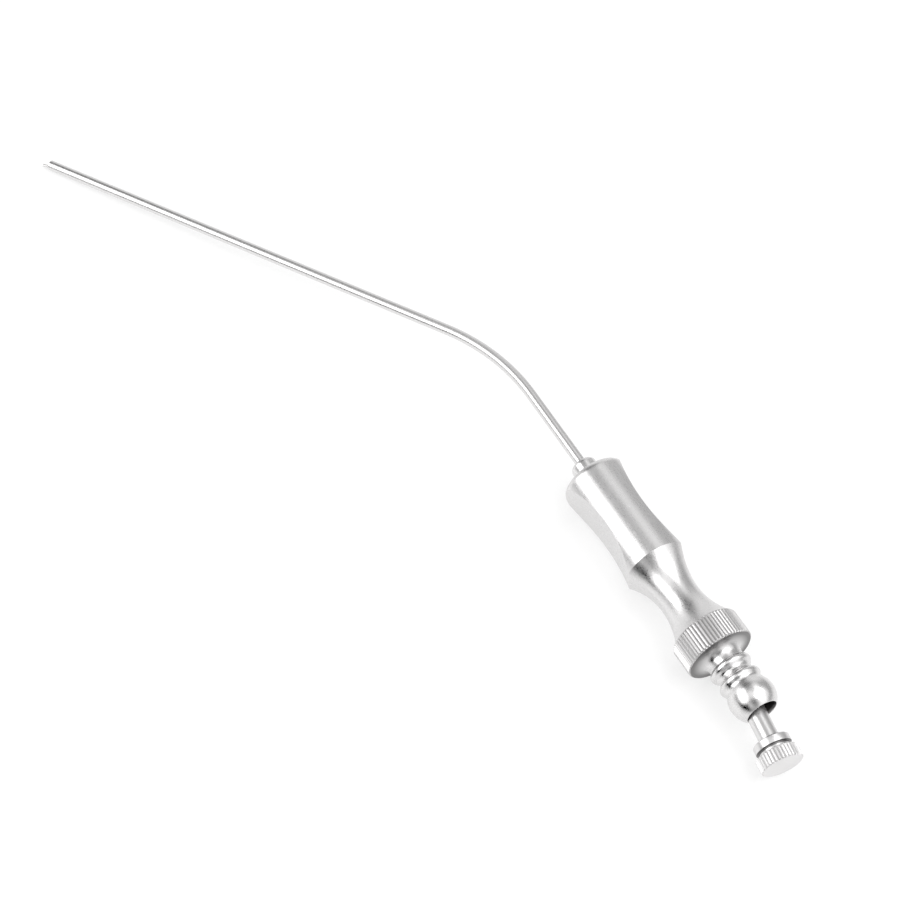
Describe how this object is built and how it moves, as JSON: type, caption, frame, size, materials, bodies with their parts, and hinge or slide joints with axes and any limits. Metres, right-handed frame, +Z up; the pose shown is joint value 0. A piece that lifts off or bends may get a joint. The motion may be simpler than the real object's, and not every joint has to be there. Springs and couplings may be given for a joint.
{
  "type": "frazier suction tube with stylet",
  "caption": "Angled surgical suction tube with a scooped steel grip, a ridged hose connector and a knurled cleaning stylet lying in its bore.",
  "frame": {"origin": "centre of the bounding box on the table that the instrument lies on", "axes": "+X along the handle towards the working tip, +Y across the table towards the hollow side of the bend, +Z up"},
  "size_m": [0.186, 0.0606, 0.0126],
  "materials": {
    "tube_steel": "drawn stainless steel tube, finely cross brushed",
    "turned_steel": "turned stainless steel, polished, knurled rims",
    "satin_steel": "turned and milled stainless steel, satin brushed",
    "wire_steel": "drawn stainless spring wire"
  },
  "bodies": {
    "root": {"cannula": "tube_steel", "collar": "turned_steel", "grip": "satin_steel", "hose_connector": "turned_steel", "stylet_hub": "turned_steel", "stylet_wire": "wire_steel"}
  },
  "joints": []
}
